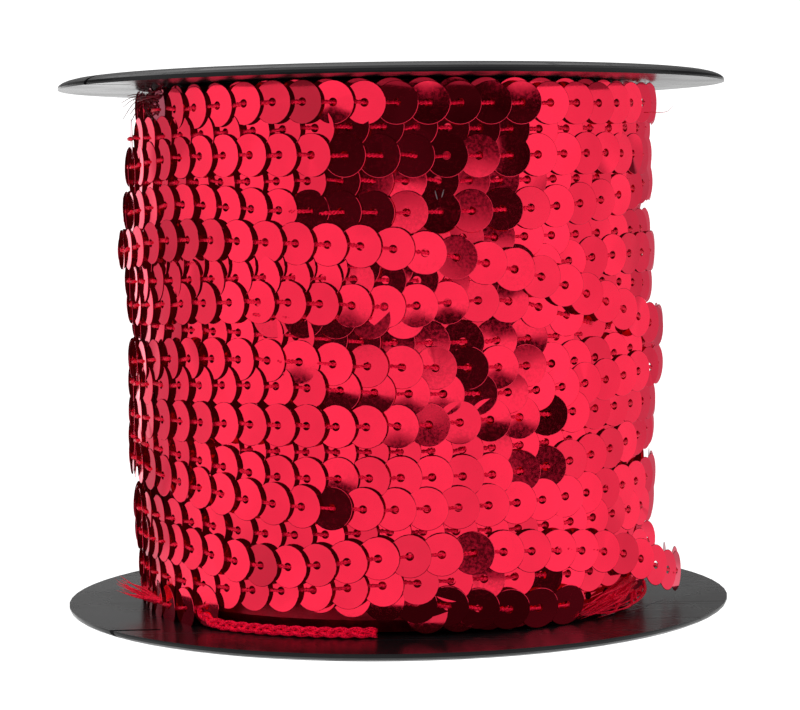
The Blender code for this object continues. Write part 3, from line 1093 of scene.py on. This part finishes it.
def side_level(tree, azimuth, elevation):
    """Brightness of the surround by azimuth: cloudy, with dimmer and brighter stretches."""
    place = vector_of(tree, calc(tree, "MULTIPLY", azimuth, CLOUD_SCALE),
                      calc(tree, "MULTIPLY", elevation, CLOUD_SCALE))
    level = remap(tree, noise(tree, place, scale=1.0, detail=1.0), 0.3, 0.7, low=1.0 - SURROUND_CLOUDS)
    for first, last, share in SIDES:
        level = scaled_where(tree, level, band(tree, azimuth, first, last, SIDE_EDGE, SIDE_EDGE), share)
    return calc(tree, "MULTIPLY", level, SURROUND)


def azimuth_of(tree, split):
    """The azimuth in degrees of a direction or place that is split into its axes."""
    toward = calc(tree, "MULTIPLY", split.outputs["Y"], -1.0)
    return calc(tree, "MULTIPLY", calc(tree, "ARCTAN2", split.outputs["X"], toward), math.degrees(1.0))


def or_plain_white(tree, level):
    """The brightness, except that the camera itself sees plain white."""
    seen = add_node(tree, "ShaderNodeLightPath").outputs["Is Camera Ray"]
    return add_node(tree, "ShaderNodeMix", {0: seen, 2: level, 3: SURROUND}).outputs[0]


def add_surround():
    """A bright studio all round, with the dark gap that the camera stands in."""
    world = bpy.data.worlds.new("studio")
    bpy.context.scene.world = world
    world.use_nodes = True
    tree = world.node_tree
    direction = add_node(tree, "ShaderNodeTexCoord").outputs["Generated"]
    split = add_node(tree, "ShaderNodeSeparateXYZ", {0: direction})
    azimuth = azimuth_of(tree, split)
    elevation = calc(tree, "MULTIPLY", calc(tree, "ARCSINE", split.outputs["Z"]), math.degrees(1.0))
    turned = calc(tree, "ABSOLUTE", azimuth)
    gap = calc(tree, "MULTIPLY", band(tree, elevation, *GAP_HEIGHTS),
               remap(tree, turned, FRONT_GAP - FRONT_GAP_EDGE, FRONT_GAP + FRONT_GAP_EDGE, 1.0, 0.0))
    back = calc(tree, "MULTIPLY", band(tree, elevation, *BACK_HEIGHTS), remap(tree, turned, *BACK_START))
    cloud = noise(tree, vector_of(tree, azimuth, elevation), scale=GAP_GLIMMER_SCALE, detail=2.0)
    glimmer = remap(tree, cloud, 0.35, 0.65, *GAP_LEVELS)
    level = side_level(tree, azimuth, elevation)
    level = scaled_where(tree, level, gap, glimmer)
    level = scaled_where(tree, level, back, BACK_LEVEL)
    set_inputs(tree, tree.nodes["Background"], {"Color": (1.0, 1.0, 1.0, 1.0),
                                                "Strength": or_plain_white(tree, level)})


def add_floor():
    """A plain white floor, bright enough to lose every shadow."""
    bpy.ops.mesh.primitive_circle_add(vertices=96, radius=FLOOR_RADIUS * MM, fill_type="NGON")
    floor = bpy.context.object
    floor.name = "floor"
    material, tree, shader = new_material("white floor")
    split = add_node(tree, "ShaderNodeSeparateXYZ", {0: object_place(tree)})
    level = side_level(tree, azimuth_of(tree, split), split.outputs["Z"])
    set_inputs(tree, shader, {
        "Base Color": (0.0, 0.0, 0.0, 1.0),
        "Specular IOR Level": 0.0,
        "Emission Color": (1.0, 1.0, 1.0, 1.0),
        "Emission Strength": or_plain_white(tree, level),
    })
    floor.data.materials.append(material)


def set_view():
    """Plain colours, and enough bounces for light between the sequins."""
    scene = bpy.context.scene
    scene.view_settings.view_transform = "Standard"
    scene.view_settings.look = "None"
    scene.cycles.use_denoising = True
    scene.cycles.max_bounces = 14
    scene.cycles.glossy_bounces = 12


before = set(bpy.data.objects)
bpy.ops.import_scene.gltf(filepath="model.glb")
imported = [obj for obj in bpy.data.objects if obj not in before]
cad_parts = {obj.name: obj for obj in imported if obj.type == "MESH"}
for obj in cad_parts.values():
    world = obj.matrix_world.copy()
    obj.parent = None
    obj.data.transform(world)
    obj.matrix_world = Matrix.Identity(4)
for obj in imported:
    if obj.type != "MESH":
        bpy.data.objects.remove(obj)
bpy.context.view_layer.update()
generator = np.random.default_rng(SEED)
foil = foil_material()
# The stitch thread has a faint painted glow; the chain is a lit copy with a stronger painted glow, and the
# thread ends at the top a darker copy, painted shade
thread = thread_material("red stitch thread", (0.4, 0.0, 0.01), (1.0, 0.006, 0.05), painted_glow=0.1)
braid_thread = thread_material("red chain thread", (0.3, 0.0, 0.01), (1.0, 0.006, 0.05), painted_glow=0.36)
shaded_thread = thread_material("shaded thread ends", (0.015, 0.001, 0.002), (0.22, 0.003, 0.014),
                                shine=0.03, metal=0.0)
nylon = nylon_material()
core_finish = core_material()
plastic = plastic_material()

shown = place_sequins(all_strands(), generator)
beneath = place_sequins(under_strands(), generator)
make_sequins(Places(*(np.concatenate(pair) for pair in zip(shown, beneath))), generator)
make_stitches(shown, generator)
make_core()
make_base_braid()
make_loose_threads(generator)
make_nylon_ends()
finish_spool()
add_camera()
add_surround()
add_floor()
set_view()
